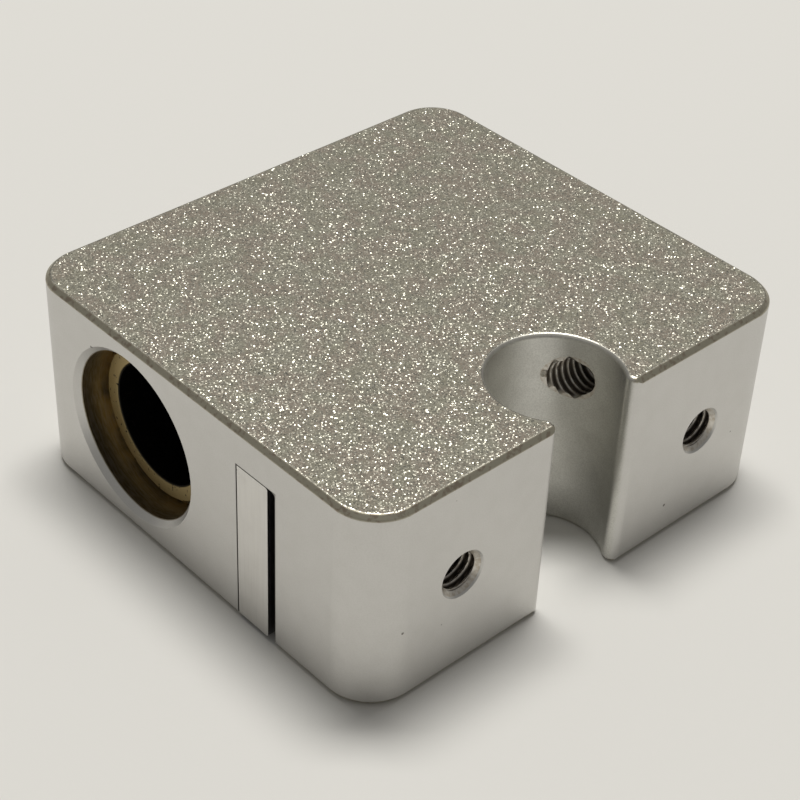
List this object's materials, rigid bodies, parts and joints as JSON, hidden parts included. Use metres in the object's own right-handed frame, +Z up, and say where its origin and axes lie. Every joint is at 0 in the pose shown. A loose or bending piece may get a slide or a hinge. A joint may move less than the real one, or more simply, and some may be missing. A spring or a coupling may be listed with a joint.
{
  "type": "rod carriage block",
  "caption": "Rounded metal carriage block with a bronze rod bush, a loose belt-clamp jaw, a C-shaped cross-rod seat and recessed grub screws.",
  "frame": {"origin": "centre of the block's underside, on the surface it rests on", "axes": "+Z up and along the cross rod's seat, Y along the main rod's bush and the belt, +X out through the seat's mouth"},
  "size_m": [0.0316, 0.034, 0.014],
  "materials": {
    "block": "bead-blasted, clear anodised",
    "bush": "oil-filled sintered bronze",
    "jaw": "fine milled, clear anodised",
    "screw": "black oxide"
  },
  "bodies": {
    "block": {"slider_block": "block", "rod_bush": "bush"},
    "jaw": {"belt_clamp_jaw": "jaw"},
    "front_screw": {"front_clamp_screw": "screw"},
    "rear_screw": {"rear_clamp_screw": "screw"},
    "lock_screw": {"rod_lock_screw": "screw"}
  },
  "joints": [
    {"name": "jaw_slide", "type": "slide", "parent": "block", "child": "jaw", "axis": [1, 0, 0], "range_m": [0, 0.0006]},
    {"name": "front_screw_travel", "type": "slide", "parent": "block", "child": "front_screw", "axis": [1, 0, 0], "range_m": [0, 0.0006]},
    {"name": "rear_screw_travel", "type": "slide", "parent": "block", "child": "rear_screw", "axis": [1, 0, 0], "range_m": [0, 0.0006]},
    {"name": "lock_screw_travel", "type": "slide", "parent": "block", "child": "lock_screw", "axis": [0, -1, 0], "range_m": [0, 0.004]}
  ],
  "couplings": [
    {"joint": "front_screw_travel", "follows": "jaw_slide", "ratio": 1},
    {"joint": "rear_screw_travel", "follows": "jaw_slide", "ratio": 1}
  ]
}
